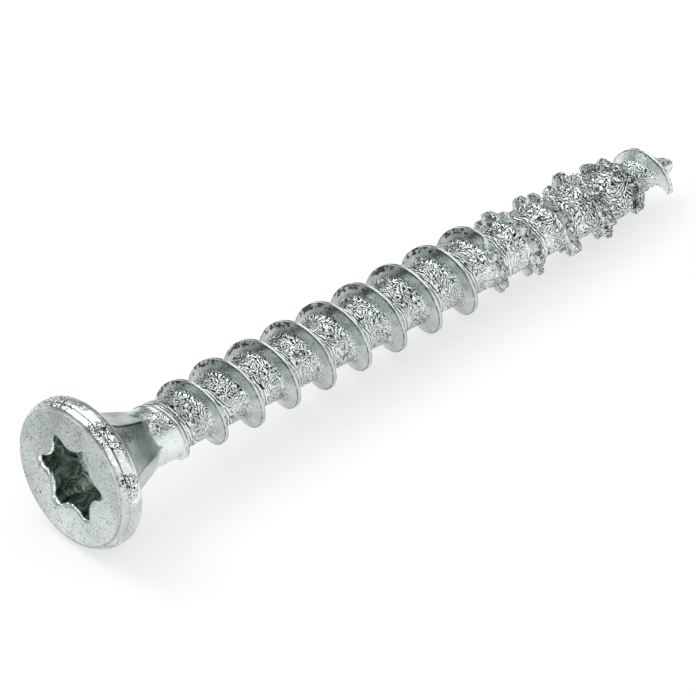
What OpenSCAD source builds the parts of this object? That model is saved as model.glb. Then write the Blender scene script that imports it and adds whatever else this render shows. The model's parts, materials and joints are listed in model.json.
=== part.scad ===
// Multi-purpose screw: a countersunk head with a six-lobe recess, a six-sided neck,
// and a coarse thread whose last turns are cut into teeth. It is one piece of steel.
// The screw is drawn upright, with the face of the head at zero and the point above it,
// and is then laid down on the edge of its head and on two of its teeth.

/* [Head] */
// Diameter over the rim of the head
head_d = 14.5; // [14:0.1:15.6]
// Height of the rim, from the face to where the underside starts
rim_h = 2.2; // [1.9:0.1:2.6]
// Radius that rounds both edges of the rim
rim_round = 0.6; // [0.3:0.05:0.8]
// Angle between the underside of the head and the axis
underside_angle = 56; // [50:1:60]

/* [Neck] */
// Size over the ridges of the six-sided neck, where it leaves the head
neck_d = 11.9; // [11:0.1:12.4]
// Distance from the face to the widest part of the neck
neck_top = 2.9; // [2.7:0.1:3.2]
// Distance from the face to the thin end of the neck
neck_end = 9.6; // [8.8:0.1:10.4]
// How straight the sides of the neck are, where 1 is a plain pyramid
neck_straightness = 0.72; // [0.4:0.02:0.9]
// How late the ridges of the neck spread out towards the head
neck_flare = 6; // [2:1:8]
// Angle that the ridges are turned by round the axis
ridge_turn = 2; // [0:1:59]

/* [Drive recess] */
// Size over the lobes of the bit that fits the recess
bit_lobes = 7.93; // [7.2:0.01:8.2]
// Size between the flutes of the bit that fits the recess
bit_flutes = 5.64; // [5.2:0.01:5.76]
// Radius at the tip of each lobe
lobe_r = 0.6; // [0.5:0.02:0.8]
// Gap between the bit and the recess on each side
bit_gap = 0.06; // [0.02:0.01:0.12]
// Depth of the straight walls of the recess
recess_depth = 3.4; // [2.4:0.1:3.6]
// Depth of the hollow cone below the straight walls
recess_cone_h = 1.2; // [0.6:0.1:1.6]
// Angle that the lobes are turned by round the axis
lobe_turn = 12; // [0:1:59]

/* [Shank and thread] */
// Length of the whole screw
screw_length = 72.3; // [60:0.1:90]
// Diameter of the plain shank below the neck
shank_d = 5.6; // [5.3:0.02:5.8]
// Diameter of the core between the turns of the thread
core_d = 4.9; // [4.6:0.1:5.2]
// Outer diameter of the thread
thread_d = 7.5; // [7:0.1:8.4]
// Distance from one turn to the next
pitch = 4.26; // [3.8:0.02:4.8]
// Width of the outer edge of the thread
crest_w = 0.35; // [0.2:0.05:0.6]
// Slope of each side of the thread
flank_angle = 20; // [10:1:26]
// Width of the fillet at each foot of the thread
foot_w = 0.25; // [0.15:0.05:0.35]
// Height of the fillet at each foot of the thread
foot_h = 0.17; // [0.1:0.01:0.25]
// Distance from the face to where the thread starts
thread_start = 9.16; // [8.8:0.02:10.6]

/* [Teeth] */
// Number of teeth in the last full turns
teeth = 46; // [10:1:60]
// Depth of the notches between the teeth
tooth_depth = 0.8; // [0.3:0.05:0.9]
// Outer diameter of the last tooth
last_tooth_d = 6.1; // [5.6:0.1:6.8]
// Distance from the last notch to the end of the point
teeth_to_end = 4.9; // [4.8:0.1:6]

/* [Point] */
// Outer diameter of the smooth turn after the teeth
tail_d = 5.3; // [4.6:0.1:5.8]
// Distance from one turn to the next, just after the teeth
tail_pitch = 1.55; // [1.3:0.05:1.7]
// How much that distance grows over the smooth turn
tail_pitch_gain = 1.95; // [0.8:0.05:2.1]
// Diameter of the core where its taper ends
taper_d = 2.84; // [2.6:0.02:3.4]
// Length of the taper of the core
taper_h = 2.8; // [1.8:0.1:3.2]
// Distance from the end of the taper to the end of the point
taper_to_end = 4.1; // [3.6:0.1:4.6]
// Diameter of the point where its rounded end starts
point_d = 1.8; // [1.4:0.02:2.2]
// Length of the rounded end of the point
point_h = 0.85; // [0.7:0.05:1]

/* [Hidden] */

// The thread advances by steps. A tooth is four steps long, and a turn has ten and a half teeth.
tooth_steps = 4;
turn_steps = 42;
step_angle = 360 / turn_steps;
start_angle = -30.3;
tail_steps = 39;

head_r = head_d / 2;
shank_r = shank_d / 2;
core_r = core_d / 2;
thread_r = thread_d / 2;

// Whole teeth from the start of the thread to the last notch, which lies half a tooth further
whole_teeth = round((screw_length - teeth_to_end - thread_start) / pitch * turn_steps / tooth_steps - 0.5);
last_notch = whole_teeth * tooth_steps + tooth_steps / 2;
first_notch = last_notch - teeth * tooth_steps;
last_step = last_notch + tail_steps;

// Height of the crest of the thread, and its angle round the axis, at a step
function crest_z(i) = let (past = max(i - last_notch, 0) / turn_steps)
    thread_start + min(i, last_notch) * pitch / turn_steps + past * (tail_pitch + past * tail_pitch_gain);
function crest_angle(i) = start_angle + i * step_angle;

// Where the core narrows towards the point
taper_end = screw_length - taper_to_end;
point_start = screw_length - point_h;
function core_radius(z) = lookup(z, [
    [thread_start + 0.4 * pitch, shank_r],
    [thread_start + pitch, core_r],
    [taper_end - taper_h, core_r],
    [taper_end, taper_d / 2],
    [point_start, point_d / 2]
]);

// Outer radius of the thread at a step: it rises over the first two turns, keeps its full
// size as far as the last turn of teeth, and falls to the blunt end of the tail
full_h = thread_r - core_r;
tail_r = tail_d / 2;
function crest_radius(i) = lookup(i / turn_steps, [
    [0, shank_r + 0.06 * full_h],
    [0.09, core_r + 0.36 * full_h],
    [0.3, core_r + 0.46 * full_h],
    [0.58, core_r + 0.57 * full_h],
    [1.08, core_r + 0.8 * full_h],
    [1.58, core_r + 0.86 * full_h],
    [2.08, thread_r],
    [last_notch / turn_steps - 0.83, thread_r],
    [last_notch / turn_steps - 0.05, last_tooth_d / 2],
    [last_notch / turn_steps + 0.4, tail_r + 0.05],
    [(last_step - 3) / turn_steps, tail_r],
    [last_step / turn_steps, point_d / 2 + 0.4 * (tail_r - point_d / 2)]
]);

function is_notch(i) = i >= first_notch && i <= last_notch && i % tooth_steps == tooth_steps / 2;

// Six points across the thread at a step, each as radius and height, from the head's side
// of its foot over the crest to the other foot
foot_lift = 0.02;
function thread_section(i) =
    let (z = crest_z(i))
    let (h = crest_radius(i) - core_radius(z))
    let (cut = is_notch(i) ? min(tooth_depth, h - 2 * foot_h) : 0)
    let (rise = min(foot_h, h / 3))
    let (slope = tan(flank_angle))
    let (top = crest_w / 2 + cut * slope)
    let (foot = crest_w / 2 + (h - rise) * slope)
    let (base = foot + foot_w)
    [
        [core_radius(z - base) + foot_lift, z - base],
        [core_radius(z - foot) + rise, z - foot],
        [crest_radius(i) - cut, z - top],
        [crest_radius(i) - cut, z + top],
        [core_radius(z + foot) + rise, z + foot],
        [core_radius(z + base) + foot_lift, z + base]
    ];

// A point given by radius and height, turned to the angle of a step
function at_step(i, rz) = [rz[0] * cos(crest_angle(i)), rz[0] * sin(crest_angle(i)), rz[1]];

// The two triangles of a four-sided face
function quad(a, b, c, d) = [[a, b, c], [a, c, d]];

// Rings that close the shank: one inside the neck, and three round the point
shank_base = 6;
section_points = 6;
point_rings = [
    [point_d / 2, point_start],
    [0.62 * point_d / 2, screw_length - 0.38 * point_h],
    [0.22 * point_d / 2, screw_length - 0.05 * point_h]
];

// Core and thread as one skin that winds up the screw. Each step of the thread is joined
// to the next one, and to the step that lies one turn above it.
module threaded_shank() {
    n = last_step;
    rows = [for (i = [0:n]) each [for (p = thread_section(i)) at_step(i, p)]];
    base_ring = [for (k = [0:turn_steps - 1]) at_step(k, [shank_r, shank_base])];
    end_rings = [for (ring = point_rings) each [for (k = [0:turn_steps - 1]) at_step(n + k, ring)]];
    b0 = len(rows);
    e0 = b0 + turn_steps;
    base_centre = e0 + len(end_rings);
    end_centre = base_centre + 1;
    last_ring = len(point_rings) - 1;
    function v(i, s) = section_points * i + s;
    function b(k) = b0 + k % turn_steps;
    function e(m, k) = e0 + m * turn_steps + k % turn_steps;
    along = [for (i = [0:n - 1]) for (s = [0:section_points - 2]) each
        quad(v(i, s), v(i, s + 1), v(i + 1, s + 1), v(i + 1, s))];
    between = [for (i = [0:n - turn_steps - 1]) each
        quad(v(i, 5), v(i + turn_steps, 0), v(i + turn_steps + 1, 0), v(i + 1, 5))];
    below = [for (k = [0:turn_steps - 1]) each
        quad(b(k), v(k, 0), v(k + 1, 0), b(k + 1))];
    above = [for (k = [0:turn_steps - 1]) each
        quad(v(n - turn_steps + k, 5), e(0, k), e(0, k + 1), v(n - turn_steps + k + 1, 5))];
    rounded = [for (m = [0:last_ring - 1]) for (k = [0:turn_steps - 1]) each
        quad(e(m, k), e(m + 1, k), e(m + 1, k + 1), e(m, k + 1))];
    base_cap = [for (k = [0:turn_steps - 1]) [base_centre, b(k), b(k + 1)]];
    end_cap = [for (k = [0:turn_steps - 1]) [end_centre, e(last_ring, k + 1), e(last_ring, k)]];
    start_face = concat(
        quad(v(0, 4), v(0, 3), v(0, 2), v(0, 1)),
        quad(v(0, 5), v(0, 4), v(0, 1), v(0, 0)),
        quad(v(turn_steps, 0), v(0, 5), v(0, 0), b(0))
    );
    end_face = concat(
        quad(v(n, 1), v(n, 2), v(n, 3), v(n, 4)),
        quad(v(n, 0), v(n, 1), v(n, 4), v(n, 5)),
        quad(v(n, 0), v(n, 5), e(0, 0), v(n - turn_steps, 5))
    );
    color("silver")
    polyhedron(
        points = concat(rows, base_ring, end_rings, [[0, 0, shank_base], [0, 0, screw_length]]),
        faces = concat(along, between, below, above, rounded, base_cap, end_cap, start_face, end_face)
    );
}

// Round head: flat face, rim with rounded edges, and a conical underside that ends in the neck
under_end_r = neck_d / 3;
module head() {
    arc = [for (s = [0:5]) s * 90 / 5];
    back = [for (s = [0:4]) s * (90 - underside_angle) / 4];
    under_r = head_r - rim_round * (1 - cos(90 - underside_angle));
    under_z = rim_h - rim_round + rim_round * sin(90 - underside_angle);
    under_h = (under_r - under_end_r) / tan(underside_angle);
    color("silver")
    rotate_extrude($fn = 96)
    polygon(concat(
        [[0, 0]],
        [for (a = arc) [head_r - rim_round * (1 - sin(a)), rim_round * (1 - cos(a))]],
        [for (a = back) [head_r - rim_round * (1 - cos(a)), rim_h - rim_round + rim_round * sin(a)]],
        [[under_end_r, under_z + under_h], [0, under_z + under_h]]
    ));
}

// Neck with six hollow sides between ridges. It runs out under the skin of the shank.
neck_sunk = 0.3;
neck_parts = 8;
module neck() {
    thin_r = shank_r - neck_sunk;
    wide_r = neck_d / 2;
    side = [for (s = [0:neck_parts]) let (u = 1 - s / neck_parts)
        [thin_r + (wide_r - thin_r) * (neck_straightness * u + (1 - neck_straightness) * pow(u, neck_flare)),
         neck_end - u * (neck_end - neck_top)]];
    color("silver")
    rotate([0, 0, ridge_turn])
    rotate_extrude($fn = 6)
    polygon(concat([[0, rim_h], [wide_r, rim_h]], side, [[0, neck_end]]));
}

// Outline with six round lobes and six round flutes that touch smoothly
module six_lobes(across_lobes, across_flutes) {
    a = across_lobes / 2 - lobe_r;
    b = across_flutes / 2;
    flute_r = (a * a + b * b - 2 * a * b * cos(30) - lobe_r * lobe_r) / (2 * (lobe_r - b + a * cos(30)));
    turn = atan2((b + flute_r) * sin(30), (b + flute_r) * cos(30) - a);
    lobe = [for (s = [0:6]) let (t = turn * (s / 3 - 1)) [a + lobe_r * cos(t), lobe_r * sin(t)]];
    flute = [for (s = [1:6]) let (t = 180 + turn + (60 - 2 * turn) * s / 7)
        [(b + flute_r) * cos(30) + flute_r * cos(t), (b + flute_r) * sin(30) + flute_r * sin(t)]];
    polygon([for (k = [0:5]) for (p = concat(lobe, flute))
        [p[0] * cos(60 * k) - p[1] * sin(60 * k), p[0] * sin(60 * k) + p[1] * cos(60 * k)]]);
}

// Recess for the bit, open at the face, with a hollow cone at its floor. The cut starts
// before the face, and the cone starts inside the straight walls.
cut_start = 1;
cone_lap = 0.1;
module recess() {
    flutes = bit_flutes + 2 * bit_gap;
    rotate([0, 0, lobe_turn])
    translate([0, 0, -cut_start])
    linear_extrude(height = recess_depth + cut_start)
    six_lobes(bit_lobes + 2 * bit_gap, flutes);
    translate([0, 0, recess_depth - cone_lap])
    cylinder(h = recess_cone_h + cone_lap, d1 = flutes - cone_lap, d2 = flutes / 4, $fn = 48);
}

module upright_screw() {
    color("silver")
    difference() {
        union() {
            head();
            neck();
            threaded_shank();
        }
        recess();
    }
}

// How the screw lies: a notch about one turn before the last faces down, so that the teeth
// on both sides of it touch the surface, together with the back edge of the rim
teeth_past_rest = 10;
down_step = last_notch - teeth_past_rest * tooth_steps;
tooth_rest_r = crest_radius(down_step + 1) * cos(step_angle);
tooth_rest_z = crest_z(down_step + 1) + crest_w / 2;
rim_rest_z = rim_h - rim_round;
tilt = atan2(head_r - tooth_rest_r, tooth_rest_z - rim_rest_z);
rest_h = head_r * cos(tilt) + rim_rest_z * sin(tilt);
low_x = -(head_r - rim_round) * sin(tilt);
high_x = screw_length * cos(tilt);

module screw() {
    translate([-(low_x + high_x) / 2, 0, rest_h])
    rotate([0, 90 + tilt, 0])
    rotate([0, 0, -crest_angle(down_step)])
    upright_screw();
}

screw();
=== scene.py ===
import json
import math
import random

import bmesh
import bpy
from mathutils import Matrix, Vector, noise


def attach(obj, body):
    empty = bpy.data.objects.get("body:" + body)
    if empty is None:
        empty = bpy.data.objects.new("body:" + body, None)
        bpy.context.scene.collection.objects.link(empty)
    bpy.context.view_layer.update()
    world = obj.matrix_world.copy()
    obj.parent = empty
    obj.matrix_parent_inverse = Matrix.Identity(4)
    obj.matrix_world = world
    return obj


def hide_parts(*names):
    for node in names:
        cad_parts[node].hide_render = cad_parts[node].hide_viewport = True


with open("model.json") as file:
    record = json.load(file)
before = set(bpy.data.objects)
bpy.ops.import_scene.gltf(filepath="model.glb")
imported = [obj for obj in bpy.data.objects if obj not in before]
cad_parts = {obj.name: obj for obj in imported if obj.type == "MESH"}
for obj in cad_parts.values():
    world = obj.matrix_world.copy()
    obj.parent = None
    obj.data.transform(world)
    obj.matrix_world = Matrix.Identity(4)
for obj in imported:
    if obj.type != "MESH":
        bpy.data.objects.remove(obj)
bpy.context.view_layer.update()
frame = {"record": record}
mounts = {mount["name"]: mount for mount in frame["record"]["mounts"]}
faceCentre = Vector(mounts["drive_recess"]["pos_m"])
toPoint = -Vector(mounts["drive_recess"]["axis"]).normalized()
print("frame loaded, head face at", [round(v * 1000, 2) for v in faceCentre])

# The screw is shaped upright in millimetres, with the face of its head at zero and its point
# above it, and is laid down where the frame has it at the end
head = {
    "edgeRadius": 6.93,       # how far out the finish of the face goes
    "backRadius": 6.98,       # where the rim turns into the underside
    "rimHeight": 2.2,
    "undersideAngle": 56,     # degrees from the axis
    # height and radius: a narrow front band, a groove, a barrel-shaped band and a round back edge
    "rim": [(0, 6.56), (0.045, 6.73), (0.14, 6.86), (0.27, 6.96), (0.42, 7.04), (0.56, 7.09), (0.64, 7.08),
            (0.7, 7.04), (0.76, 7.1), (0.84, 7.15), (1.0, 7.2), (1.25, 7.24), (1.5, 7.25), (1.75, 7.22),
            (1.95, 7.16), (2.1, 7.08), (2.2, 6.98)],
    "rimRings": [2.15, 2.1, 2.02, 1.95, 1.85, 1.75, 1.65, 1.55, 1.45, 1.35, 1.25, 1.15, 1.07, 1.0, 0.92, 0.84,
                 0.8, 0.76, 0.73, 0.7, 0.67, 0.64, 0.6, 0.56, 0.49, 0.42, 0.34, 0.27, 0.2, 0.14, 0.09, 0.045,
                 0.015, 0],
    "faceRings": [0.05] + [s / 12 for s in range(1, 12)],    # shares of the way from rim to recess
    "bandEnd": (2.1, 1.8),    # heights between which the wear of the rim, and its painted highlights, start
    "hammer": 0.09,           # how far the dents of the rim go in
    "grooveHeight": 0.7,
    "grooveWander": 0.09,     # how far the groove strays from its height
}
recess = {
    "lobes": 8.05,            # across the tips
    "flutes": 5.76,           # across the inner walls
    "lobeRadius": 0.6,
    "depth": 3.4,
    "coneDepth": 1.2,
    "turn": 12,
    "lip": 0.31,
    "lipRings": (0, 15, 30, 45, 60, 75, 90),    # degrees round the lip
    "highlightSide": -80,        # where the lip is widest and carries its painted highlight, as fromTop counts
    "wallRows": 8,
    "floorGap": 0.05,         # between the floor's ring and the flutes
    "coneTip": 0.72,
    "coneBend": (0.4, 0.48),  # share of the way in, and depth, where the cone gets steeper
}
neck = {
    "ridgeRadius": 5.95,
    "top": 2.9,
    "end": 9.6,
    "thinRadius": 2.5,
    "straightness": 0.72,
    "flare": 6,               # how late the ridges spread towards the head
    "turn": 2,
    "turnRows": 8,            # rows that turn from the thread's columns to the ridges
    "shadeAndStain": (76, 4.9),       # angle and height of a painted dark reflection on the neck
    "shadeSize": (11, 0.9),
}
thread = {
    "columns": 126,           # steps in a turn
    "turnsWound": 18,
    "start": 9.16,
    "startAngle": -30.3,
    "pitch": 4.26,
    "shankRadius": 2.8,
    "coreRadius": 2.45,
    "crestRadius": 3.75,
    "runIn": [(0.09, 0.32), (0.3, 0.44), (0.58, 0.57), (1.08, 0.8), (1.58, 0.86)],    # turn, share of height
    "crestHalf": 0.175,
    "flankAngle": 20,
    "footWidth": 0.25,
    "footHeight": 0.17,
    "groove": 0.035,          # between the two lips of the crest
    "teethInTurn": 10.5,
    "lastNotch": 143.5 / 10.5,    # in turns from the start
    "teeth": 46,
    "toothDepth": 0.8,
    "toothLean": 0.5,         # most that a tooth is pushed over towards the head
    "toothUneven": 0.3,       # most that a tooth is lower than the next one
    "toothPeak": 0.42,        # how much the most pointed tooth falls off from its middle
    "toothBulge": 0.2,        # how far the sides of a tooth swell
    "toothLength": 12,
    "notchWidths": (2.6, 4.8),    # narrowest and widest notch, to one side, in the unit of toothLength
    "notchShape": [(0, 1), (0.25, 0.87), (0.7, 0.28), (1, 0)],
    "crumple": 0.2,           # how far the last teeth are pressed out of shape
    "lastLean": 0.35,
    "lastToothRadius": 3.05,
    "tailRadius": 2.65,
    "tailPitch": 1.55,        # just after the last notch
    "tailSpeedUp": 1.95,
    "tailTurns": 0.93,
    "restTooth": 10,          # notches between the one that faces down and the last one
}
point = {
    "profile": [(65.4, 2.45), (66.5, 2.09), (67.8, 1.6), (68.3, 1.42), (69.9, 1.33), (70.6, 1.15),
                (71.6, 0.73)],
    "nose": [(0.58, 71.87), (0.43, 72.1), (0.25, 72.24)],
    "end": 72.3,
    "offAxis": 0.22,          # the point was cut a little to one side
    "offFrom": (69.9, 71),
}
skin = {
    "join": 7.6,              # height where the rings of the head meet the thread's winding rows
    "ringColumns": 252,
    "neckRows": 42,
    "crinkle": 0.06,          # relief of the rolled core
    "crinkleSize": 0.55,
    "lines": 4.4,             # where the count of the long wrinkles starts
    "tangle": 1,              # full share of the short strokes, which run in all directions
    "sharpAngle": 42,         # edges sharper than this aren't smoothed
}
# What the finishes read at each vertex: how wrinkled the skin is, how far out on the thread (which also places
# the painted dark lines and painted highlights along edges), the count of the long wrinkles, the share of the
# short ones, how much painted shade darkens it, and how much clearer the zinc is, with painted sheen and shade
# that change with the angle round the screw
measures = ("crinkle", "outward", "lines", "tangle", "paintedShade", "clearZincAndSheen")
# Where the screw is worn, and where light and shade are painted on it: stations by angle, as fromTop counts,
# unless a note says otherwise
wearAndLight = {
    "zeroSide": 133,          # degrees from the side that the screw lies on
    "roughShank": [(-180, 0.5), (-110, 0.5), (-40, 0.1), (48, 0.15), (60, 1), (92, 1), (102, 0.12), (150, 0.15),
                   (180, 0.5)],
    "smoothSide": [(96, 1), (112, 0.35), (150, 0.35), (170, 1)],
    # painted highlight along the middle of the crest, by angle
    "crestHighlight": [(-180, 0.3), (-40, 0.1), (12, 0.2), (22, 1), (58, 1), (72, 0.3), (130, 0.2), (180, 0.3)],
    "crestMiddle": (0.84, 0.16),    # outward where the crest has no painted highlight, and how much more where it has
    "crestLip": (0.83, 0.09),
    # outward at the crest's edge, where a painted dark outline lies
    "crestEdge": 0.77,
    "toothRoles": [(0.1, 1), (0.16, 0.4), (0.3, 0.4), (0.42, 1)],    # by role, from the crest to the base
    "lineRoles": [(0, 0), (0.3, -5), (0.42, -4.1), (0.95, -0.1), (1, 0)],
    "tangleRoles": [(0.2, 1), (0.3, 0.1), (0.68, 0.12), (0.95, 1)],
    # painted sheen on the thread by angle: darker near its upper outline, lighter where it faces the camera
    "threadClearAndSheen": [(20, -0.08), (60, 0.02), (100, 0.26), (170, 0.05)],
    "shankShine": 0.4,
    "darkCrest": [(0, 1.1), (24, 0.9), (44, 0)],    # painted shade along the top of the crest, by angle from the one where it is darkest
    "darkestCrest": 6,
    "ridges": [(30, 1), (45, 0.4)],                 # painted dark line along the neck's ridges, by angle from the ridge in view
    "rimHeights": [(0.04, 0.1), (0.3, 0.6), (0.7, 1), (1.6, 1), (1.9, 0.1)],    # by height
    "rimWrinkles": [(-180, 0.3), (-90, 1), (20, 0.7), (40, 0.12), (56, 0.08), (61, 1), (82, 0.9), (86, 0.1),
                    (100, 0.05), (103, 1), (113, 0.8), (122, 0.12), (150, 0.06), (180, 0.3)],
    "groove": [(0, 1), (66, 1), (78, 0.15), (140, 0.4)],    # painted shade in the rim's groove, by angle from 40
    # painted highlights on the rim, by angle
    "rimHighlights": [(-60, 0.1), (35, 0.1), (43, 0.5), (56, 0.5), (61, 0), (82, 0), (86, 0.85), (100, 0.85),
                 (104, 0), (120, 0.1)],
    # a painted highlight on the rim's barrel-shaped band, by angle
    "bandHighlight": [(110, 0), (113, 0.7), (122, 0.7), (127, 0)],
    # painted dark line along the face's outer edge, and a painted highlight on it where it faces the camera
    "faceEdge": [(-180, 0.42), (-25, 0.42), (10, 0.3), (58, 0.3), (64, 0.45), (95, 0.45), (100, 0.9),
                 (122, 0.9), (132, 0.42)],
}


def mix(a, b, share):
    return a + (b - a) * share


def shareOf(value, low, high):
    return min(max((value - low) / (high - low), 0.0), 1.0)


def eased(share):
    return share * share * (3 - 2 * share)


def along(value, stations):
    # straight between (place, value) stations, and level beyond them
    for (a, va), (b, vb) in zip(stations, stations[1:]):
        if value <= b:
            return mix(va, vb, shareOf(value, a, b))
    return stations[-1][1]


def upright(radius, z, angle):
    return radius * math.cos(angle), radius * math.sin(angle), z


def angleOf(vert):
    return math.atan2(vert.co.y, vert.co.x)


lastTurn = thread["lastNotch"]
firstNotch = lastTurn - thread["teeth"] / thread["teethInTurn"]
tailEnd = lastTurn + thread["tailTurns"]
down = thread["startAngle"] + 360 * (lastTurn - thread["restTooth"] / thread["teethInTurn"])


def fromTop(angle):
    # degrees round the lying screw: near 0 where the camera sees its upper outline, 47 on top, and
    # about 97 where it faces the camera
    return (math.degrees(angle) - down - wearAndLight["zeroSide"] + 180) % 360 - 180


def crestHeight(turn):
    after = max(turn - lastTurn, 0)
    return (thread["start"] + min(turn, lastTurn) * thread["pitch"]
            + after * (thread["tailPitch"] + after * thread["tailSpeedUp"]))


def seamHeight(turn):
    # halfway between this turn and the next one
    return (crestHeight(turn) + crestHeight(turn + 1)) / 2


def barrel(z):
    # radius of the shank and core without the thread
    shank = [(10.9, thread["shankRadius"]), (12.4, mix(thread["shankRadius"], thread["coreRadius"], 0.8)),
             (13.4, thread["coreRadius"])]
    return along(z, shank + point["profile"])


def sixSides(angle, z):
    rise = shareOf(z, neck["end"], neck["top"])
    bend = mix(rise ** neck["flare"], rise, neck["straightness"])
    ridge = mix(neck["thinRadius"], neck["ridgeRadius"], bend)
    fromRidge = (math.degrees(angle) - neck["turn"]) % 60 - 30
    return ridge * math.cos(math.radians(30)) / math.cos(math.radians(fromRidge))


def bodyRadius(angle, z):
    return max(barrel(z), sixSides(angle, z))


def crestRadius(turn):
    core, full = thread["coreRadius"], thread["crestRadius"] - thread["coreRadius"]
    tail = thread["tailRadius"]
    runIn = [(0, thread["shankRadius"])] + [(at, core + share * full) for at, share in thread["runIn"]]
    return along(turn, runIn + [
        (2.08, thread["crestRadius"]),
        (lastTurn - 0.83, thread["crestRadius"]),
        (lastTurn - 0.05, thread["lastToothRadius"]),
        (lastTurn + 0.4, tail + 0.05),
        (tailEnd - 0.06, tail),
        (tailEnd - 0.025, tail - 0.12),
        (tailEnd, tail - 0.5),
    ])


random.seed(31)
noise.seed_set(31)            # or else noise_vector goes by the clock
toothCount = thread["teeth"] + 2
leans = [thread["toothLean"] * random.uniform(-0.1, 1) ** 2 for _ in range(toothCount)]
lows = [thread["toothUneven"] * random.random() ** 1.5 for _ in range(toothCount)]
peaks = [thread["toothPeak"] * random.random() for _ in range(toothCount)]
notchWidths = [random.uniform(*thread["notchWidths"]) for _ in range(toothCount)]


def toothAt(turn):
    # which tooth a turn is in, and how far it is into it from either side (1 in the middle, 0 at a notch)
    place = (turn - firstNotch) * thread["teethInTurn"]
    if not 0 <= place < thread["teeth"]:
        return 0, 0.0
    return int(place) + 1, 1 - abs(2 * (place % 1) - 1)


def notchDepth(turn):
    place = (turn - firstNotch) * thread["teethInTurn"]
    cut = 0.0
    for notch in (math.floor(place), math.ceil(place)):
        if 0 <= notch <= thread["teeth"]:
            away = abs(place - notch) * thread["toothLength"] / notchWidths[notch]
            cut = max(cut, along(away, thread["notchShape"]))
    return thread["toothDepth"] * cut


# Roles of the rows across one turn, from the middle of the crest to the middle of the gap
rowRoles = {"crest": 0.1, "foot": 0.3, "base": 0.42}
halfRows = ([0, 0.055, rowRoles["crest"]] + [mix(rowRoles["crest"], rowRoles["foot"], s / 3) for s in (1, 2, 3)]
            + [0.36] + [mix(rowRoles["base"], 1, s / 9) for s in range(10)])


def threadPoint(turn, role):
    # radius and height of the skin at a turn, for a row's role from -1 to 1
    side = -1 if role < 0 else 1
    place = abs(role)
    z = crestHeight(turn)
    core = barrel(z)
    presence = shareOf(turn, -0.03, 0.0) * (1 - shareOf(turn, tailEnd - 0.01, tailEnd + 0.02))
    tooth, within = toothAt(turn)
    lowered = 0
    if tooth:
        lowered = lows[tooth] * min(within * 3, 1) + peaks[tooth] * (1 - within) * min(within * 5, 1)
    height = max(crestRadius(turn) - lowered - core, 0.0) * presence
    lean = leans[tooth] * eased(min(within * 1.6, 1)) + thread["lastLean"] * along(turn, [
        (lastTurn - 1.2, 0), (lastTurn - 0.3, 1), (lastTurn + 0.05, 1), (lastTurn + 0.4, 0)])
    cut = min(notchDepth(turn), max(height - 2 * thread["footHeight"], 0))
    rise = min(thread["footHeight"], height / 3)
    slope = math.tan(math.radians(thread["flankAngle"]))
    top = thread["crestHalf"] + cut * slope
    foot = thread["crestHalf"] + (height - rise) * slope
    base = foot + thread["footWidth"]
    if place <= rowRoles["crest"]:
        share = place / rowRoles["crest"]
        lip = thread["groove"] * (1 - share ** 2) * (1 if cut < 0.01 else 0) * presence
        return core + height - cut - lip, z + side * top * share - lean
    if place <= rowRoles["foot"]:
        share = (place - rowRoles["crest"]) / (rowRoles["foot"] - rowRoles["crest"])
        swell = thread["toothBulge"] * math.sin(math.pi * share) * eased(within)
        out = side * (mix(top, foot, share) + swell)
        return core + mix(height - cut, rise, share), z + out - lean * (1 - share)
    if place < rowRoles["base"]:
        share = (place - rowRoles["foot"]) / (rowRoles["base"] - rowRoles["foot"])
        here = z + side * mix(foot, base, share)
        return barrel(here) + rise * (1 - share) ** 2, here
    share = (place - rowRoles["base"]) / (1 - rowRoles["base"])
    seam = seamHeight(turn) if side > 0 else seamHeight(turn - 1)
    here = mix(z + side * base, seam, share)
    return barrel(here), here


def crinkled(place):
    # how far a wrinkle of the rolled core moves a point in or out
    at = place / skin["crinkleSize"]
    at += noise.noise_vector(place * 1.1) * 0.9
    fold = 1 - 2 * abs(noise.noise(at))
    fine = noise.noise(at * 2.3)
    away = Vector((place.x, place.y, 0)).normalized()
    return away * skin["crinkle"] * (fold - 0.6 + 0.4 * fine)


def crumpled(place, turn):
    # the last turns of teeth are pressed out of shape, but never outwards
    amount = thread["crumple"] * along(turn, [
        (firstNotch, 0.1), (lastTurn - 2.6, 0.4), (lastTurn - 1.7, 1), (lastTurn - 0.3, 1),
        (lastTurn + 0.1, 0)])
    pushed = place + amount * noise.noise_vector(place * 1.3)
    outer, was = math.hypot(pushed.x, pushed.y), math.hypot(place.x, place.y)
    if outer > was:
        pushed.x, pushed.y = pushed.x * was / outer, pushed.y * was / outer
    return pushed


def beyondNeck(angle, z):
    # 1 where the round shank has taken over from the sides of the neck
    return eased(shareOf(barrel(z) - sixSides(angle, z), 0.0, 0.12))


def coreWrinkles(where, turn, place, beforeThread, degrees):
    # how wrinkled the core and shank are: the shank on one side only, and less where the core faces away
    amount = eased(shareOf(place, rowRoles["foot"] - 0.09, rowRoles["foot"] + 0.05))
    if turn < 0 or turn > tailEnd:
        amount = 1
    amount *= mix(1, along(degrees, wearAndLight["roughShank"]), beforeThread)
    return amount * along(degrees + 10 * noise.noise(where * 0.6), wearAndLight["smoothSide"])


def toothWrinkles(turn, place):
    # how wrinkled the teeth are: most in the last two turns, and along their crests
    amount = along(turn, [
        (firstNotch - 0.1, 0), (firstNotch + 0.2, 0.12), (lastTurn - 2.5, 0.2), (lastTurn - 1.8, 1.3),
        (lastTurn, 1.3), (lastTurn + 0.2, 0.3), (lastTurn + 0.5, 0.2)])
    amount *= along(place, wearAndLight["toothRoles"])
    onCrest = (1 - shareOf(place, 0.1, 0.15)) * (turn < lastTurn)
    return amount * (1 + 3.5 * onCrest * shareOf(1 - amount, 0.6, 0.8))


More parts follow.
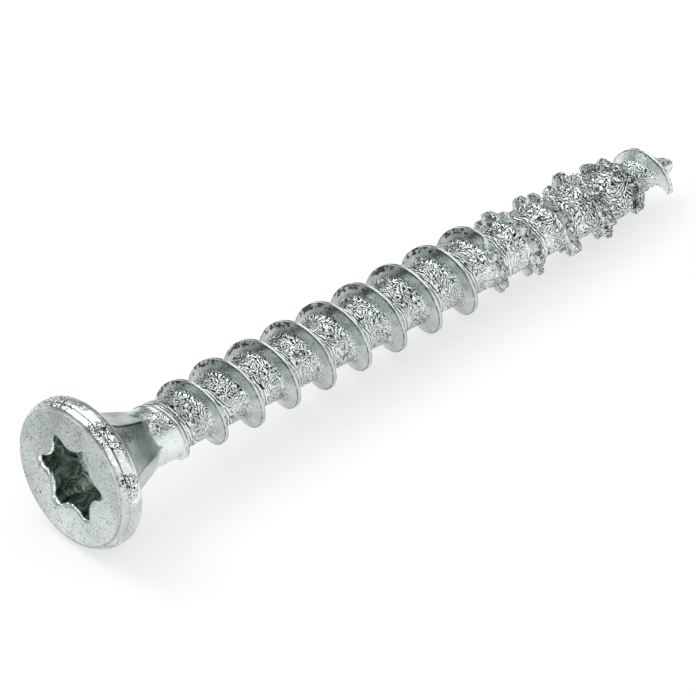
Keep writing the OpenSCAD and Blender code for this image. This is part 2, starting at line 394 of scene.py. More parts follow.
def outwardShare(place, turned):
    # 0 at the foot of the thread, and most in the middle of its crest; its top values place the painted dark
    # outline of the crest and the painted highlight along its middle
    highlit = along(fromTop(turned) + 12 * noise.noise(Vector((turned, place, 0)) * 3), wearAndLight["crestHighlight"])
    if place > rowRoles["crest"]:
        return wearAndLight["crestEdge"] * (1 - shareOf(place, rowRoles["crest"], rowRoles["foot"]))
    middle, lip = [plain + more * highlit for plain, more in (wearAndLight["crestMiddle"], wearAndLight["crestLip"])]
    return along(place, [(0, middle), (rowRoles["crest"] * 0.55, lip), (rowRoles["crest"], wearAndLight["crestEdge"])])


def threadClearAndSheen(turn, degrees):
    # clearer zinc on the last turns and on the tail, and a painted sheen that changes with the angle round the
    # screw
    lastTurns, tail = shareOf(turn, lastTurn - 2.2, lastTurn - 1.6), shareOf(turn, lastTurn, lastTurn + 0.2)
    return 0.02 + 0.2 * lastTurns + 0.3 * tail + along(degrees, wearAndLight["threadClearAndSheen"])


def threadPaintedShade(turn, place, degrees, outward):
    # painted shade: at the foot of the flank, near the top of the crest, in a band along one side of the core,
    # and in the notches
    top = along(abs(degrees - wearAndLight["darkestCrest"]), wearAndLight["darkCrest"]) * (0.25 if turn > firstNotch else 1)
    onFlank = along(outward, [(0, 0.3), (0.08, 0.55), (0.2, 0.15), (0.35, 0.25), (0.55, 0.35 + 0.6 * top),
                              (0.75, 0.25 + 0.6 * top), (0.85, 0)])
    onCore = 0.35 * max(1 - abs(degrees - 80) / 14, 0) * shareOf(place, 0.4, 0.6)
    inNotch = 0.55 * shareOf(notchDepth(turn), 0.55, 0.75) * shareOf(outward, 0.3, 0.6)
    return onFlank + onCore + inNotch


def layersOf(bm, names):
    return [bm.verts.layers.float[name] for name in names]


def windRows(bm):
    # one turn of the rows is spun with a rise, then repeated up the screw and welded
    pitch, columns = thread["pitch"], thread["columns"]
    roles = [-r for r in reversed(halfRows[1:])] + halfRows
    start = math.radians(thread["startAngle"])
    direction = Vector((math.cos(start), math.sin(start), 0))
    verts = [bm.verts.new(direction * thread["coreRadius"] + Vector((0, 0, r * pitch / 2))) for r in roles]
    edges = [bm.edges.new(pair) for pair in zip(verts, verts[1:])]
    bmesh.ops.spin(bm, geom=verts + edges, cent=(0, 0, 0), axis=(0, 0, 1), angle=math.tau, steps=columns,
                   dvec=(0, 0, pitch / columns), use_merge=False, use_duplicate=False)
    oneTurn = bm.verts[:] + bm.edges[:] + bm.faces[:]
    for turn in range(1, thread["turnsWound"]):
        copied = bmesh.ops.duplicate(bm, geom=oneTurn)["geom"]
        moved = [item for item in copied if isinstance(item, bmesh.types.BMVert)]
        bmesh.ops.translate(bm, verts=moved, vec=(0, 0, pitch * turn))
    bmesh.ops.translate(bm, verts=bm.verts, vec=(0, 0, -pitch))
    bmesh.ops.remove_doubles(bm, verts=bm.verts, dist=0.01)


def shapeRows(bm):
    # moves each vertex of the wound rows to its place on the screw, and notes how it is worn there and what
    # light and shade are painted on it
    crinkle, outward, lines, tangle, paintedShade, clearZincAndSheen = layersOf(bm, measures)
    pitch, columns = thread["pitch"], thread["columns"]
    for vert in bm.verts:
        angle = math.degrees(angleOf(vert)) - thread["startAngle"]
        part = (round(angle / 360 * columns) % columns) / columns
        climb = vert.co.z / pitch - part
        turn = part + round(climb)
        role = 2 * (climb - round(climb))
        place, tooth = abs(role), toothAt(turn)[0]
        turned = math.radians(thread["startAngle"] + 360 * part)
        degrees = fromTop(turned)
        radius, z = threadPoint(turn, role)
        onNeck = z < neck["end"]
        vert.co = upright(max(radius, sixSides(turned, z) if onNeck else 0), z, turned)
        beforeThread = 1 if turn < 0 or (turn < 1 and role < 0) else 1 - shareOf(turn, 0, 0.3)
        wrinkled = max(coreWrinkles(vert.co, turn, place, beforeThread, degrees), toothWrinkles(turn, place))
        vert[crinkle] = wrinkled * (beyondNeck(turned, z) if onNeck else 1)
        vert[lines] = skin["lines"]
        vert[tangle] = skin["tangle"] * (1 + 0.5 * beforeThread)
        vert[clearZincAndSheen] = wearAndLight["shankShine"] * beforeThread
        if 0 <= turn <= tailEnd:
            inLine = 1 - shareOf(turn, lastTurn - 2.6, lastTurn - 1.9)
            vert[lines] += inLine * along(role, wearAndLight["lineRoles"])
            vert[tangle] *= 1 - inLine * (1 - along(role, wearAndLight["tangleRoles"]))
            vert[outward] = outwardShare(place, turned) * (0.96 if tooth else 1)
            vert[clearZincAndSheen] += threadClearAndSheen(turn, degrees)
            vert[paintedShade] = threadPaintedShade(turn, place, degrees, vert[outward])
        if tooth:
            vert.co = crumpled(vert.co, turn)
            vert[clearZincAndSheen] += 0.24 + 0.3 * noise.noise(vert.co * 1.4)
        if vert[crinkle] > 0:
            vert.co += crinkled(vert.co) * vert[crinkle]


def cutLevel(bm, z, keepAbove):
    # trims the skin level, and leaves its new rim with only one vertex to each column
    cut = bmesh.ops.bisect_plane(bm, geom=bm.verts[:] + bm.edges[:] + bm.faces[:], dist=1e-5,
                                 plane_co=(0, 0, z), plane_no=(0, 0, 1),
                                 clear_inner=keepAbove, clear_outer=not keepAbove)["geom_cut"]
    columns, step = thread["columns"], 360 / thread["columns"]
    rim = [item for item in cut if isinstance(item, bmesh.types.BMVert)]
    columnOf = {v: (math.degrees(angleOf(v)) - thread["startAngle"]) / step for v in rim}
    onColumn = {round(c) % columns: v for v, c in columnOf.items() if abs(c - round(c)) < 0.02}
    strays = {v: onColumn[round(c) % columns] for v, c in columnOf.items()
              if onColumn[round(c) % columns] is not v}
    bmesh.ops.weld_verts(bm, targetmap=strays)


def openRing(bm, z):
    return [e for e in bm.edges if e.is_boundary and all(abs(v.co.z - z) < 0.01 for v in e.verts)]


def vertsOf(ring):
    return {v for e in ring for v in e.verts}


def growRing(bm, ring, place):
    # adds one ring beyond the rim, and moves each new vertex to where place puts its angle
    grown = bmesh.ops.extrude_edge_only(bm, edges=ring)["geom"]
    fresh = {item for item in grown if isinstance(item, bmesh.types.BMVert)}
    for vert in fresh:
        vert.co = upright(*place(angleOf(vert)))
    return [item for item in grown if isinstance(item, bmesh.types.BMEdge)
            and item.verts[0] in fresh and item.verts[1] in fresh]


def closeRing(bm, ring, z):
    # draws the last ring together in one vertex on the axis
    tip = growRing(bm, ring, lambda angle: (0.05, z, angle))
    bmesh.ops.pointmerge(bm, verts=list(vertsOf(tip)), merge_co=(0, 0, z))


def lobeRadius(angle):
    # distance from the axis to the wall of the recess: a small arc at each tip, and a big one between two tips
    tip, flute, small = recess["lobes"] / 2, recess["flutes"] / 2, recess["lobeRadius"]
    tipAt = tip - small
    c30 = math.cos(math.radians(30))
    big = ((tipAt * tipAt + flute * flute - 2 * tipAt * flute * c30 - small * small)
           / (2 * (small - flute + tipAt * c30)))
    fluteAt = flute + big
    touch = math.atan2(fluteAt * 0.5 * small, tipAt * (small + big) + (fluteAt * c30 - tipAt) * small)
    fromTip = math.radians(abs((math.degrees(angle) - recess["turn"] + 30) % 60 - 30))
    if fromTip < touch:
        return tipAt * math.cos(fromTip) + math.sqrt(max(small ** 2 - (tipAt * math.sin(fromTip)) ** 2, 0))
    fromFlute = math.radians(30) - fromTip
    return fluteAt * math.cos(fromFlute) - math.sqrt(max(big ** 2 - (fluteAt * math.sin(fromFlute)) ** 2, 0))


def towardHighlight(angle):
    # 1 on the side of the recess where the lip is widest and has its painted highlight, and -1 across from it
    return math.cos(math.radians(fromTop(angle) - recess["highlightSide"]))


def lipAt(angle):
    # the edge of the recess is rounded unevenly, and most on one side
    around = Vector((math.cos(angle), math.sin(angle), 0.0)) * 3
    uneven = 1 + 0.5 * noise.noise(around) + 0.35 * noise.noise(around * 2.7)
    return recess["lip"] * (0.9 + 0.5 * towardHighlight(angle)) * uneven


def hammered(angle, z, radius):
    place = Vector(upright(radius, z, angle))
    dents = noise.noise(place * 0.8) + 0.7 * noise.noise(place * 1.9) + 0.3 * noise.noise(place * 4.1)
    depth = head["hammer"] * shareOf(z, 0, 0.3) * shareOf(z, *head["bandEnd"])
    return radius - depth * max(dents + 0.2, 0)


def wander(angle, z):
    # the groove of the rim isn't quite level
    around = Vector((math.cos(angle), math.sin(angle), 0.0))
    return head["grooveWander"] * noise.noise(around * 4) * max(1 - abs(z - head["grooveHeight"]) / 0.45, 0)


def growNeck(bm, ring):
    # the columns are doubled, and turned a little to meet the ridges
    bmesh.ops.subdivide_edges(bm, edges=ring, cuts=1)
    ring = openRing(bm, skin["join"])
    for vert in vertsOf(ring):
        angle = angleOf(vert)
        vert.co = upright(bodyRadius(angle, skin["join"]), skin["join"], angle)
    step = 360 / skin["ringColumns"]
    drift = math.radians(((neck["turn"] - thread["startAngle"]) / step + 0.5) % 1 - 0.5) * step
    under = math.tan(math.radians(head["undersideAngle"]))
    crinkle, outward, lines, tangle, paintedShade, clearZincAndSheen = layersOf(bm, measures)
    for row in range(1, skin["neckRows"] + 1):
        z = mix(skin["join"], head["rimHeight"], row / skin["neckRows"])
        cone = head["backRadius"] - (z - head["rimHeight"]) * under
        turning = drift / neck["turnRows"] if row <= neck["turnRows"] else 0
        ring = growRing(bm, ring, lambda angle: (
            max(bodyRadius(angle + turning, z), cone), z, angle + turning))
        for vert in vertsOf(ring):
            angle = angleOf(vert)
            degrees, height = fromTop(angle), vert.co.z
            vert[crinkle] = beyondNeck(angle, height) * along(degrees, wearAndLight["roughShank"])
            fromRidge = abs((math.degrees(angle) - neck["turn"] + 30) % 60 - 30)
            # outward draws a painted dark line along the ridges of the neck, strongest on the ridge in view
            vert[outward] = (1 - shareOf(fromRidge, 0, 4.3)) * (1 - vert[crinkle]) * shareOf(height, 3, 4.2)
            vert[outward] *= along(abs(degrees - 60), wearAndLight["ridges"])
            vert[lines], vert[tangle] = skin["lines"], skin["tangle"]
            # painted sheen: the neck is lighter where it faces the camera; where it is wrinkled it takes the
            # shank's clearer zinc
            vert[clearZincAndSheen] = mix(0.03 + 0.12 * shareOf(degrees, 74, 102), wearAndLight["shankShine"], vert[crinkle])
            # a painted dark reflection on one facet of the neck
            (shadeAt, shadeHeight), (wide, high) = neck["shadeAndStain"], neck["shadeSize"]
            fromShade = math.hypot((degrees - shadeAt) / wide, (height - shadeHeight) / high)
            vert[paintedShade] = along(fromShade, [(0, 1), (0.5, 0.8), (1.4, 0)])
    return ring


def growRim(bm, ring):
    crinkle, outward, tangle, paintedShade, clearZincAndSheen = layersOf(bm, ("crinkle", "outward", "tangle", "paintedShade", "clearZincAndSheen"))
    for z in head["rimRings"]:
        radius = along(z, head["rim"])
        ring = growRing(bm, ring, lambda angle: (hammered(angle, z, radius), z + wander(angle, z), angle))
        for vert in vertsOf(ring):
            degrees, onBand = fromTop(angleOf(vert)), shareOf(z, *head["bandEnd"])
            patchy = degrees + (6 * noise.noise(vert.co * 0.7) - 5 * shareOf(z, 0.6, 0.9))
            vert[crinkle] = along(z, wearAndLight["rimHeights"]) * along(patchy, wearAndLight["rimWrinkles"])
            vert[tangle] = skin["tangle"]
            # outward puts painted shade in the groove and a painted dark line along the rim's front edge
            inGroove = 1 - shareOf(abs(z - head["grooveHeight"]), 0, 0.08)
            onEdge = 1 - shareOf(abs(z - 0.02), 0, 0.03)
            vert[outward] = max(inGroove * along(abs(degrees - 40), wearAndLight["groove"]), 0.8 * onEdge)
            # painted highlights on the rim, and on its barrel-shaped band
            vert[clearZincAndSheen] = along(patchy, wearAndLight["rimHighlights"]) * onBand
            vert[clearZincAndSheen] += along(patchy, wearAndLight["bandHighlight"]) * shareOf(z, 0.9, 1.2) * onBand
            # two painted dark patches among the rim's painted highlights
            vert[paintedShade] = along(abs(degrees - 68) * 0.6 + abs(z - 0.7) * 10, [(0, 0.62), (8, 0.5), (15, 0)])
            vert[paintedShade] += along(abs(degrees - 110) * 0.7 + abs(z - 0.9) * 7, [(0, 0.66), (7, 0.5), (14, 0)])
    # the last ring takes the painted dark line and painted highlight of the face's edge
    for vert in vertsOf(ring):
        vert[outward] = along(fromTop(angleOf(vert)), wearAndLight["faceEdge"])
    return ring


def growFace(bm, ring):
    outward, clearZincAndSheen = layersOf(bm, ("outward", "clearZincAndSheen"))
    rimRadius = head["rim"][0][1]
    for share in head["faceRings"]:
        ring = growRing(bm, ring, lambda angle: (
            mix(rimRadius, lobeRadius(angle) + lipAt(angle), share), 0, angle))
        for vert in vertsOf(ring):
            vert[outward] = 0
            # painted shade: the face is darker towards the top of the lying screw
            vert[clearZincAndSheen] = -0.05 - 0.19 * math.cos(math.radians(fromTop(angleOf(vert)) - 25))
    return ring


def growRecess(bm, ring):
    # a rounded lip, straight walls, and a hollow cone for a floor
    outward, paintedShade, clearZincAndSheen = layersOf(bm, ("outward", "paintedShade", "clearZincAndSheen"))
    for degrees in recess["lipRings"]:
        turned = math.radians(degrees)
        ring = growRing(bm, ring, lambda angle: (
            lobeRadius(angle) + lipAt(angle) * (1 - math.sin(turned)),
            lipAt(angle) * (1 - math.cos(turned)), angle))
        for vert in vertsOf(ring):
            # 1 on the side of the painted highlight, 0 across from it
            lipLight = 0.5 + 0.5 * towardHighlight(angleOf(vert))
            bright = (0.5 + 0.7 * noise.noise(vert.co * 3.5)) * lipLight
            # a thin painted dark line on the face side of the lip, a painted highlight on the lip that noise
            # breaks up and that is darker across from it, and painted shade down into the recess on the side
            # away from the highlight
            vert[outward] = along(degrees, [(0, 0.3), (15, 0.42), (30, 0)])
            vert[clearZincAndSheen] = along(degrees, [(15, 0), (30, bright), (60, bright), (75, -0.1)]) - 0.3 * (1 - lipLight)
            vert[paintedShade] = along(degrees, [(15, 0), (45, 1), (90, 1)]) * shareOf(lipLight, 0.5, 0.3)
    for row in range(1, recess["wallRows"] + 1):
        share = row / recess["wallRows"]
        ring = growRing(bm, ring, lambda angle: (
            lobeRadius(angle), mix(lipAt(angle), recess["depth"], share), angle))
        for vert in vertsOf(ring):
            # painted shade on the walls of the recess, less with each row
            vert[paintedShade] = 0.3 * shareOf(vert[paintedShade], 0, 1)
    floorRadius = recess["flutes"] / 2 - recess["floorGap"]
    bendShare, bendDepth = recess["coneBend"]
    cone = [(floorRadius, 0), (mix(floorRadius, recess["coneTip"], bendShare), bendDepth),
            (recess["coneTip"], recess["coneDepth"])]
    for radius, deeper in cone:
        ring = growRing(bm, ring, lambda angle: (radius, recess["depth"] + deeper, angle))
    closeRing(bm, ring, recess["depth"] + recess["coneDepth"])


def growPoint(bm, ring):
    for radius, z in point["nose"]:
        ring = growRing(bm, ring, lambda angle: (radius, z, angle))
    closeRing(bm, ring, point["end"])
    for vert in bm.verts:
        vert.co.x -= point["offAxis"] * shareOf(vert.co.z, *point["offFrom"])


def regionOf(place):
    # which finish a face of the upright screw has
    radius, angle = math.hypot(place.x, place.y), math.atan2(place.y, place.x)
    if place.z < recess["depth"] + recess["coneDepth"] and radius < lobeRadius(angle) + 0.06:
        return "recess"
    if place.z < 0.03 and radius < head["edgeRadius"]:
        return "face"
    if place.z < head["rimHeight"] + 0.05:
        return "rim"
    return "neck" if place.z < skin["join"] + 0.4 else "rolled"


regions = ["rolled", "neck", "face", "rim", "recess"]


def makeScrew():
    bm = bmesh.new()
    windRows(bm)
    for name in measures:
        bm.verts.layers.float.new(name)
    shapeRows(bm)
    pointStart = point["profile"][-1][0]
    cutLevel(bm, skin["join"], True)
    cutLevel(bm, pointStart, False)
    lower, upper = openRing(bm, skin["join"]), openRing(bm, pointStart)
    growRecess(bm, growFace(bm, growRim(bm, growNeck(bm, lower))))
    growPoint(bm, upper)
    bmesh.ops.recalc_face_normals(bm, faces=bm.faces)
    print("screw skin:", len(bm.verts), "vertices,", sum(len(f.verts) - 2 for f in bm.faces),
          "triangles, open edges", sum(e.is_boundary for e in bm.edges))
    for face in bm.faces:
        face.smooth = True
        face.material_index = regions.index(regionOf(face.calc_center_median()))
    for edge in bm.edges:
        edge.smooth = edge.calc_face_angle(0) < math.radians(skin["sharpAngle"])
    tilt = math.atan2(-toPoint.z, toPoint.x)
    lying = (Matrix.Translation(faceCentre) @ Matrix.Rotation(math.radians(90) + tilt, 4, "Y")
             @ Matrix.Rotation(-math.radians(down), 4, "Z") @ Matrix.Scale(0.001, 4))
    bmesh.ops.transform(bm, matrix=lying, verts=bm.verts)
    mesh = bpy.data.meshes.new("screwSkin")
    bm.to_mesh(mesh)
    bm.free()
    piece = bpy.data.objects.new("screwSkin", mesh)
    bpy.context.scene.collection.objects.link(piece)
    return piece


screw = makeScrew()
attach(screw, "root")
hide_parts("screw")


# The finishes share three node groups, each with its own values: wrinkles, pits and clouds
def addNode(tree, kind, feeds=None, **settings):
    # a node of a kind, with its settings, and what feeds its sockets: a value or another node's socket
    node = tree.nodes.new("ShaderNode" + kind)
    for key, value in settings.items():
        setattr(node, key, value)
    for label, source in (feeds or {}).items():
        if isinstance(source, bpy.types.NodeSocket):
            tree.links.new(source, node.inputs[label])
        else:
            node.inputs[label].default_value = source
    return node


def maths(tree, operation, a, b=0.0, clamp=False):
    return addNode(tree, "Math", {0: a, 1: b}, operation=operation, use_clamp=clamp).outputs[0]


def vectors(tree, operation, a, b):
    # b is a factor for SCALE and a vector for the others
    feeds = {0: a, "Scale" if operation == "SCALE" else 1: b}
    return addNode(tree, "VectorMath", feeds, operation=operation).outputs[0]


def blend(tree, share, a, b):
    return addNode(tree, "Mix", {0: share, 6: a, 7: b}, data_type="RGBA").outputs[2]


def ramp(tree, value, stops):
    # a colour ramp with a (place, colour) stop for each pair
    node = addNode(tree, "ValToRGB", {0: value})
    elements = node.color_ramp.elements
    while len(elements) < len(stops):
        elements.new(0.5)
    for element, (at, colour) in zip(elements, stops):
        element.position, element.color = at, colour
    return node.outputs


def measure(tree, name):
    return addNode(tree, "Attribute", attribute_name=name).outputs["Fac"]


def openGroup(name, size, inputs, outputs):
    # a group with a Vector and a Size in metres, its sockets, and its place counted in that size
    group = bpy.data.node_groups.new(name, "ShaderNodeTree")
    for label, kind, value in [("Vector", "Vector", (0, 0, 0)), ("Size", "Float", size)] + inputs:
        socket = group.interface.new_socket(label, in_out="INPUT", socket_type="NodeSocket" + kind)
        socket.default_value = value
    for label in outputs:
        group.interface.new_socket(label, in_out="OUTPUT", socket_type="NodeSocketFloat")
    into, out = group.nodes.new("NodeGroupInput").outputs, group.nodes.new("NodeGroupOutput").inputs
    scaled = vectors(group, "SCALE", into["Vector"], maths(group, "DIVIDE", 1.0, into["Size"]))
    return group, into, out, scaled


def makeWrinkles():
    # folds as rolling leaves them on zinc: 0 in the creases and 1 on the folds. Short strokes, a patch at a
    # time in each direction, and long lines where Lines counts them up
    group, into, out, scaled = openGroup(
        "rolledWrinkles", 0.0004, [("Lines", "Float", 0.0), ("Tangle", "Float", 1.0)], ["Height", "Crease"])
    warp = addNode(group, "TexNoise", {"Vector": scaled, "Scale": 0.55, "Detail": 1.0}).outputs["Color"]
    tangled = vectors(group, "ADD", scaled, vectors(group, "SCALE", warp, 2.6))
    patch = addNode(group, "TexVoronoi", {"Vector": tangled, "Scale": 0.3}).outputs
    across = vectors(group, "SUBTRACT", patch["Color"], (0.5, 0.5, 0.5))
    across = addNode(group, "VectorMath", {0: across}, operation="NORMALIZE").outputs[0]
    within = vectors(group, "SUBTRACT", tangled, patch["Position"])
    stroke = addNode(group, "VectorMath", {0: within, 1: across}, operation="DOT_PRODUCT").outputs["Value"]
    phase = maths(group, "ADD", maths(group, "MULTIPLY", stroke, into["Tangle"]), into["Lines"])
    fold = maths(group, "ABSOLUTE", maths(group, "SINE", maths(group, "MULTIPLY", phase, math.pi)))
    rough = addNode(group, "TexNoise", {"Vector": scaled, "Scale": 0.8, "Detail": 1.0}).outputs["Fac"]
    both = maths(group, "ADD", maths(group, "MULTIPLY", fold, 0.75), maths(group, "MULTIPLY", rough, 0.6))
    group.links.new(both, out["Height"])
    # Crease: where painted shade darkens the creases, with gaps
    creaseShade = maths(group, "SUBTRACT", 1.0, maths(group, "MULTIPLY", fold, 1.6, True))
    gaps = addNode(group, "TexNoise", {"Vector": scaled, "Scale": 0.7, "Detail": 1.0}).outputs["Fac"]
    gaps = maths(group, "ADD", maths(group, "MULTIPLY", gaps, 5.0), -1.2, True)
    group.links.new(maths(group, "MULTIPLY", creaseShade, gaps), out["Crease"])
    return group


def makePits():
    # fine grain and small scattered pits
    group, into, out, scaled = openGroup("finePits", 0.0002, [("Amount", "Float", 0.5)], ["Height", "Pit"])
    grain = addNode(group, "TexNoise", {"Vector": scaled, "Scale": 1.0, "Detail": 3.0, "Roughness": 0.6})
    cells = addNode(group, "TexVoronoi", {"Vector": scaled, "Scale": 0.45}).outputs["Distance"]
    where = addNode(group, "TexNoise", {"Vector": scaled, "Scale": 0.16, "Detail": 1.0}).outputs["Fac"]
    pit = maths(group, "SUBTRACT", maths(group, "MULTIPLY", where, into["Amount"]), cells)
    pit = maths(group, "MULTIPLY", pit, 4.0, True)
    group.links.new(maths(group, "SUBTRACT", grain.outputs["Fac"], pit), out["Height"])
    group.links.new(pit, out["Pit"])
    return group


def makeClouds():
    # slow changes of tone from place to place, from about -1 to 1
    group, _, out, scaled = openGroup("platingClouds", 0.002, [], ["Value"])
    value = addNode(group, "TexNoise", {"Vector": scaled, "Scale": 1.0, "Detail": 3.0}).outputs["Fac"]
    group.links.new(maths(group, "MULTIPLY", maths(group, "SUBTRACT", value, 0.5), 3.0), out["Value"])
    return group


wrinkles, pits, clouds = makeWrinkles(), makePits(), makeClouds()
plating = {
    "patchSize": 0.0004,      # of the small patches that break up the stains, the painted shade and the painted lines along edges
    "reliefUnit": 1e-4,       # metres that one of the bump's heights stands for
    "foldMiddle": 0.75,       # heights at which folds and grain neither lighten nor darken
    "grainMiddle": 0.45,
    "shadedAndSoiled": 0.1,            # tone of stains, and of the painted shade in creases, pits and dark patches, as a share of the dull tone
    # tint of the painted dark lines and highlights along edges
    "edgeTint": (0.96, 1, 0.98),
}


def zinc(name, tones, roughness, edges, wrinkled=False, wrinkleSize=0.0005, wrinkleDepth=0.0, creaseShade=0.0,
         foldHighlight=0.0, pitSize=0.00015, pitDepth=1e-5, pitShade=0.4, grainTone=0.2, cloudSize=0.002,
         cloudTone=0.6, shadeAndStainLevel=1.1, shadeAndStainEdge=2.0, broken=0.0):
    # one finish: its tones from dull to clear, its relief in metres, and (outward, shade, strength) for the
    # painted dark lines and painted highlights along edges
    finish = bpy.data.materials.new(name)
    finish.use_nodes = True
    tree = finish.node_tree
    shader = tree.nodes["Principled BSDF"]
    shader.inputs["Metallic"].default_value = 1
    place = addNode(tree, "TexCoord").outputs["Object"]
    sized = ((wrinkles, wrinkleSize), (pits, pitSize), (clouds, cloudSize), (clouds, plating["patchSize"]))
    wrinkle, pit, cloud, patch = [addNode(tree, "Group", {"Vector": place, "Size": size}, node_tree=group)
                                  for group, size in sized]
    cloudy, patchy = cloud.outputs["Value"], patch.outputs["Value"]
    fold, dark, grain = wrinkle.outputs["Height"], wrinkle.outputs["Crease"], pit.outputs["Height"]
    # painted highlights on the tops of the folds, and painted shade in the creases between them
    light = maths(tree, "MULTIPLY", maths(tree, "SUBTRACT", fold, plating["foldMiddle"]), foldHighlight)
    if wrinkled:
        for label in ("Lines", "Tangle"):
            tree.links.new(measure(tree, label.lower()), wrinkle.inputs[label])
        amount = measure(tree, "crinkle")
        fold, dark, light = [maths(tree, "MULTIPLY", amount, part) for part in (fold, dark, light)]

    unit = plating["reliefUnit"]
    relief = maths(tree, "ADD", maths(tree, "MULTIPLY", fold, wrinkleDepth / unit),
                   maths(tree, "MULTIPLY", grain, pitDepth / unit))
    bump = addNode(tree, "Bump", {"Height": relief, "Distance": unit, "Strength": 1.0})
    tree.links.new(bump.outputs[0], shader.inputs["Normal"])

    grainy = maths(tree, "MULTIPLY", maths(tree, "SUBTRACT", grain, plating["grainMiddle"]), grainTone)
    light = maths(tree, "ADD", light, grainy)
    light = maths(tree, "ADD", light, maths(tree, "MULTIPLY", cloudy, cloudTone))
    # clearer zinc, with the painted sheen and shade laid on by angle
    light = maths(tree, "ADD", light, measure(tree, "clearZincAndSheen"))
    tone = ramp(tree, maths(tree, "ADD", light, 0.5), [(0, (*tones[0], 1)), (1, (*tones[1], 1))])["Color"]

    # painted shade from the vertex measure, broken up by patches that also make random dark stains
    shadeAndStain = maths(tree, "ADD", maths(tree, "MULTIPLY", patchy, 0.6), measure(tree, "paintedShade"))
    shadeAndStain = maths(tree, "MULTIPLY", maths(tree, "SUBTRACT", shadeAndStain, shadeAndStainLevel), shadeAndStainEdge, True)
    # painted shade in pits and creases, and the dark patches, pull the tone down
    pitted = maths(tree, "MULTIPLY", pit.outputs["Pit"], pitShade)
    dim = maths(tree, "MAXIMUM", maths(tree, "MULTIPLY", dark, creaseShade), pitted)
    dim = maths(tree, "MAXIMUM", dim, maths(tree, "MULTIPLY", shadeAndStain, 0.9))
    tint = blend(tree, dim, tone, (*[c * plating["shadedAndSoiled"] for c in tones[0]], 1))

    # painted dark lines and painted highlights along edges, placed by outward
    stops = [(at, (*[shade * c for c in plating["edgeTint"]], strength)) for at, shade, strength in edges]
    band = ramp(tree, measure(tree, "outward"), stops)
    whole = maths(tree, "ADD", 1 - broken * 0.5, maths(tree, "MULTIPLY", patchy, broken), True)
    tint = blend(tree, maths(tree, "MULTIPLY", band["Alpha"], whole), tint, band["Color"])
    tree.links.new(tint, shader.inputs["Base Color"])
    gloss = maths(tree, "ADD", roughness, maths(tree, "MULTIPLY", cloudy, 0.05))
    tree.links.new(gloss, shader.inputs["Roughness"])
    return finish


# In each list of edge stops, low shades with strength are painted dark lines, and high shades painted
# highlights
finishes = {
    "rolled": zinc(
        "rolledZinc", ((0.12, 0.14, 0.13), (0.84, 0.9, 0.87)), 0.14,
        [(0, 0.5, 0), (0.68, 0.05, 0), (0.72, 0.03, 0.9), (0.8, 0.03, 0.9), (0.84, 0.3, 0.5), (0.88, 0.9, 0.8),
         (1, 0.97, 0.95)],
        wrinkled=True, wrinkleSize=0.00023, wrinkleDepth=7e-5, creaseShade=2.7, foldHighlight=1.3,
        pitSize=0.00014, pitDepth=1.2e-5, cloudTone=0.22, shadeAndStainLevel=0.6, shadeAndStainEdge=4.0, broken=0.9),
    "neck": zinc(
        "neckZinc", ((0.16, 0.19, 0.18), (0.55, 0.61, 0.58)), 0.22,
        [(0, 0.1, 0), (0.25, 0.03, 0), (0.5, 0.02, 1), (1, 0.02, 1)],
        pitSize=0.00012, pitDepth=1.5e-5, cloudTone=0.8, shadeAndStainLevel=0.35, shadeAndStainEdge=1.0, broken=0.4),
    "face": zinc(
        "faceZinc", ((0.24, 0.275, 0.26), (0.84, 0.91, 0.87)), 0.3,
        [(0, 0.1, 0), (0.25, 0.05, 0), (0.42, 0.04, 0.6), (0.6, 0.9, 0.6), (1, 0.95, 0.9)],
        wrinkleSize=0.0003, wrinkleDepth=1.8e-5, creaseShade=0.1, foldHighlight=0.2, pitSize=0.00014, pitDepth=4.5e-5,
        pitShade=0.2, grainTone=1.1, cloudSize=0.004, cloudTone=0.3),
    "rim": zinc(
        "rimZinc", ((0.22, 0.26, 0.24), (0.9, 0.95, 0.92)), 0.1,
        [(0, 0.1, 0), (0.4, 0.05, 0.6), (1, 0.03, 0.95)],
        wrinkled=True, wrinkleSize=0.00022, wrinkleDepth=6.5e-5, creaseShade=3.6, foldHighlight=1.5,
        pitSize=0.00015, pitDepth=1.5e-5, cloudTone=0.3, shadeAndStainLevel=0.6, shadeAndStainEdge=4.0, broken=0.5),
    "recess": zinc(
        "recessZinc", ((0.3, 0.36, 0.32), (0.72, 0.8, 0.75)), 0.26,
        [(0, 0.5, 0), (0.6, 0.6, 0.2), (1, 0.9, 0.9)],
        wrinkleSize=0.0009, wrinkleDepth=9e-5, creaseShade=0.6, foldHighlight=0.6, broken=0.4),
}
for region in regions:
    screw.data.materials.append(finishes[region])
print("finishes made:", ", ".join(f.name for f in finishes.values()))

# Camera, floor and light
view = {
    "azimuth": -42.36,
    "elevation": 40.3,
    "middle": (-0.003622, -0.000929, 0.004553),
    "width": 0.0618,          # what the picture spans at the screw
    "distance": 2.6,
}
azimuth, elevation = math.radians(view["azimuth"]), math.radians(view["elevation"])
away = Vector((math.sin(azimuth) * math.cos(elevation), -math.cos(azimuth) * math.cos(elevation),
               math.sin(elevation)))
camera = bpy.data.objects.new("camera", bpy.data.cameras.new("camera"))
camera.data.sensor_width = 36
camera.data.lens = view["distance"] * camera.data.sensor_width / view["width"]
camera.location = Vector(view["middle"]) + away * view["distance"]
camera.rotation_euler = away.to_track_quat("Z", "Y").to_euler()
bpy.context.scene.collection.objects.link(camera)
bpy.context.scene.camera = camera

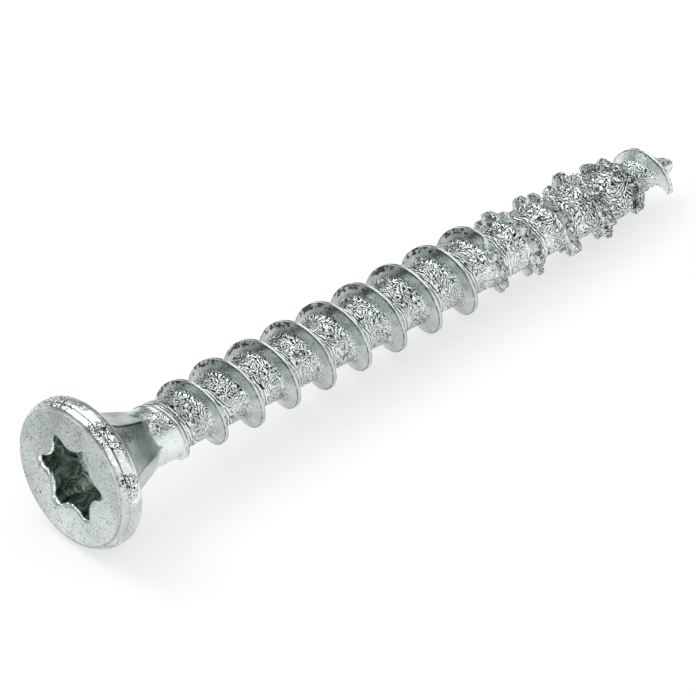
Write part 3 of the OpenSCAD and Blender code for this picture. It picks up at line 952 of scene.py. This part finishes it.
studio = {
    "floorSize": 2,
    "floorTone": 0.9,
    "floorGlow": 0.65,        # share of plain white that the camera and the metal see in the floor
    # up the sky from straight below: the walls are dull and the panel overhead is bright
    "sky": [(0.0, (0.44, 0.48, 0.5)), (0.2, (0.4, 0.44, 0.46)), (0.42, (0.16, 0.18, 0.19)),
            (0.56, (0.26, 0.28, 0.29)), (0.66, (1.2, 1.2, 1.2)), (1.0, (1.3, 1.3, 1.3))],
    "paleWall": (0.95, 0.97, 0.98),
    "wallFront": -0.58,       # the pale wall is in front of this and below its top
    "wallTop": 0.61,
    "wallEdge": 9.0,          # how sharp its edge is
    "lampEnergy": 2.6,
    "lampSize": 0.5,
    "lampPlace": (-0.15, 0.5, 0.65),
}
bpy.ops.mesh.primitive_plane_add(size=studio["floorSize"])
floor = bpy.context.object
floor.name = "floor"
paper = bpy.data.materials.new("paper")
paper.use_nodes = True
sheet = paper.node_tree
plain = sheet.nodes["Principled BSDF"]
plain.inputs["Base Color"].default_value = (*[studio["floorTone"]] * 3, 1)
plain.inputs["Roughness"].default_value = 0.9
white = addNode(sheet, "Emission", {"Color": (1, 1, 1, 1), "Strength": 1.0})
path = addNode(sheet, "LightPath").outputs
looked = maths(sheet, "MAXIMUM", path["Is Camera Ray"], path["Is Glossy Ray"])
glow = maths(sheet, "MULTIPLY", looked, studio["floorGlow"])
pale = addNode(sheet, "MixShader", {0: glow, 1: plain.outputs[0], 2: white.outputs[0]})
sheet.links.new(pale.outputs[0], sheet.nodes["Material Output"].inputs["Surface"])
floor.data.materials.append(paper)

world = bpy.data.worlds.new("studio")
bpy.context.scene.world = world
world.use_nodes = True
sky = world.node_tree
direction = addNode(sky, "SeparateXYZ", {0: addNode(sky, "TexCoord").outputs["Generated"]}).outputs
panel = ramp(sky, direction["Z"], [(at, (*tint, 1)) for at, tint in studio["sky"]])["Color"]
inFront = maths(sky, "SUBTRACT", studio["wallFront"], direction["Y"])
inFront = maths(sky, "MULTIPLY", inFront, studio["wallEdge"], True)
low = maths(sky, "SUBTRACT", studio["wallTop"], direction["Z"])
low = maths(sky, "MULTIPLY", low, studio["wallEdge"], True)
around = blend(sky, maths(sky, "MULTIPLY", inFront, low), panel, (*studio["paleWall"], 1))
looking = addNode(sky, "LightPath").outputs["Is Camera Ray"]
seen = addNode(sky, "Background", {"Color": (1, 1, 1, 1)})    # the camera itself sees plain white
lit = addNode(sky, "Background", {"Color": around})
either = addNode(sky, "MixShader", {0: looking, 1: lit.outputs[0], 2: seen.outputs[0]})
sky.links.new(either.outputs[0], sky.nodes["World Output"].inputs["Surface"])

lamp = bpy.data.objects.new("softbox", bpy.data.lights.new("softbox", "AREA"))
lamp.data.size = studio["lampSize"]
lamp.data.energy = studio["lampEnergy"]
lamp.location = studio["lampPlace"]
lamp.rotation_euler = Vector(studio["lampPlace"]).to_track_quat("Z", "Y").to_euler()
bpy.context.scene.collection.objects.link(lamp)

bpy.context.scene.view_settings.view_transform = "Standard"
